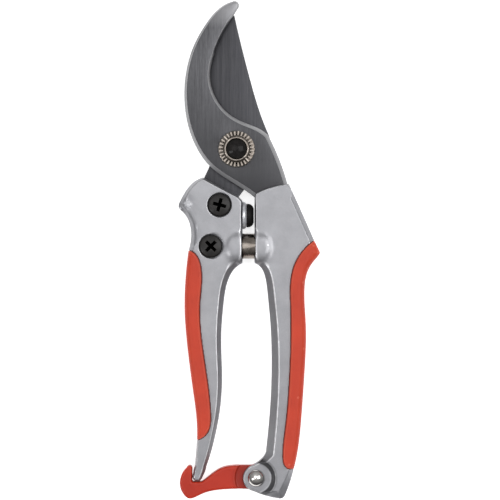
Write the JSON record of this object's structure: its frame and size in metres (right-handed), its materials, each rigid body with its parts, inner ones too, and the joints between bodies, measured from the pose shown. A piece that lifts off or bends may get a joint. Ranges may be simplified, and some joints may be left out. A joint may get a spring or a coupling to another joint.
{
  "type": "bypass pruner",
  "caption": "Hand-held bypass pruner: curved blade passing a hooked counter blade, sprung cast handles with moulded grips, rubber buffer and a swinging latch.",
  "frame": {"origin": "on the pivot's axis, in the plane that the tool rests on, which is the flat rear head of the pivot bolt", "axes": "+Y along the tool towards the blade tips, +X towards the handle with the counter blade, +Z out of the front face"},
  "size_m": [0.0608, 0.214, 0.0162],
  "materials": {
    "hook_steel": "satin ground carbon steel",
    "blade_steel": "dark hardened steel, brushed along the blade",
    "casting_silver": "fine silver lacquer on die-cast aluminium",
    "grip_orange": "soft matt overmould",
    "latch_orange": "satin moulded nylon",
    "black_steel": "black oxide, oiled",
    "black_gloss": "black oxide, polished",
    "nickel": "bright nickel plate",
    "chrome": "polished chrome",
    "bare_steel": "zinc plated steel",
    "black_rubber": "soft black rubber"
  },
  "bodies": {
    "right_handle": {"counter_blade": "hook_steel", "right_casting": "casting_silver", "right_grip": "grip_orange", "counter_blade_rivet_upper": "bare_steel", "counter_blade_rivet_lower": "bare_steel", "pivot_bolt": "black_gloss", "pivot_nut": "nickel", "pivot_washer": "bare_steel", "volute_spring": "nickel", "latch_rivet": "chrome", "latch_rivet_washer": "bare_steel", "latch_friction_washer": "bare_steel"},
    "left_handle": {"cutting_blade": "blade_steel", "left_casting": "casting_silver", "left_grip": "grip_orange", "blade_screw_upper": "black_steel", "blade_screw_lower": "black_steel", "buffer_cup": "chrome", "buffer_rubber": "black_rubber"},
    "latch": {"latch_lever": "latch_orange"}
  },
  "joints": [
    {"name": "handles_open", "type": "hinge", "parent": "right_handle", "child": "left_handle", "pos_m": [0, 0, 0.0053], "axis": [0, 0, -1], "range_deg": [0, 36], "deforming": ["volute_spring"]},
    {"name": "latch_swing", "type": "hinge", "parent": "right_handle", "child": "latch", "pos_m": [0.0085, -0.1413, 0.0076], "axis": [0, 0, 1], "range_deg": [0, 85]}
  ]
}
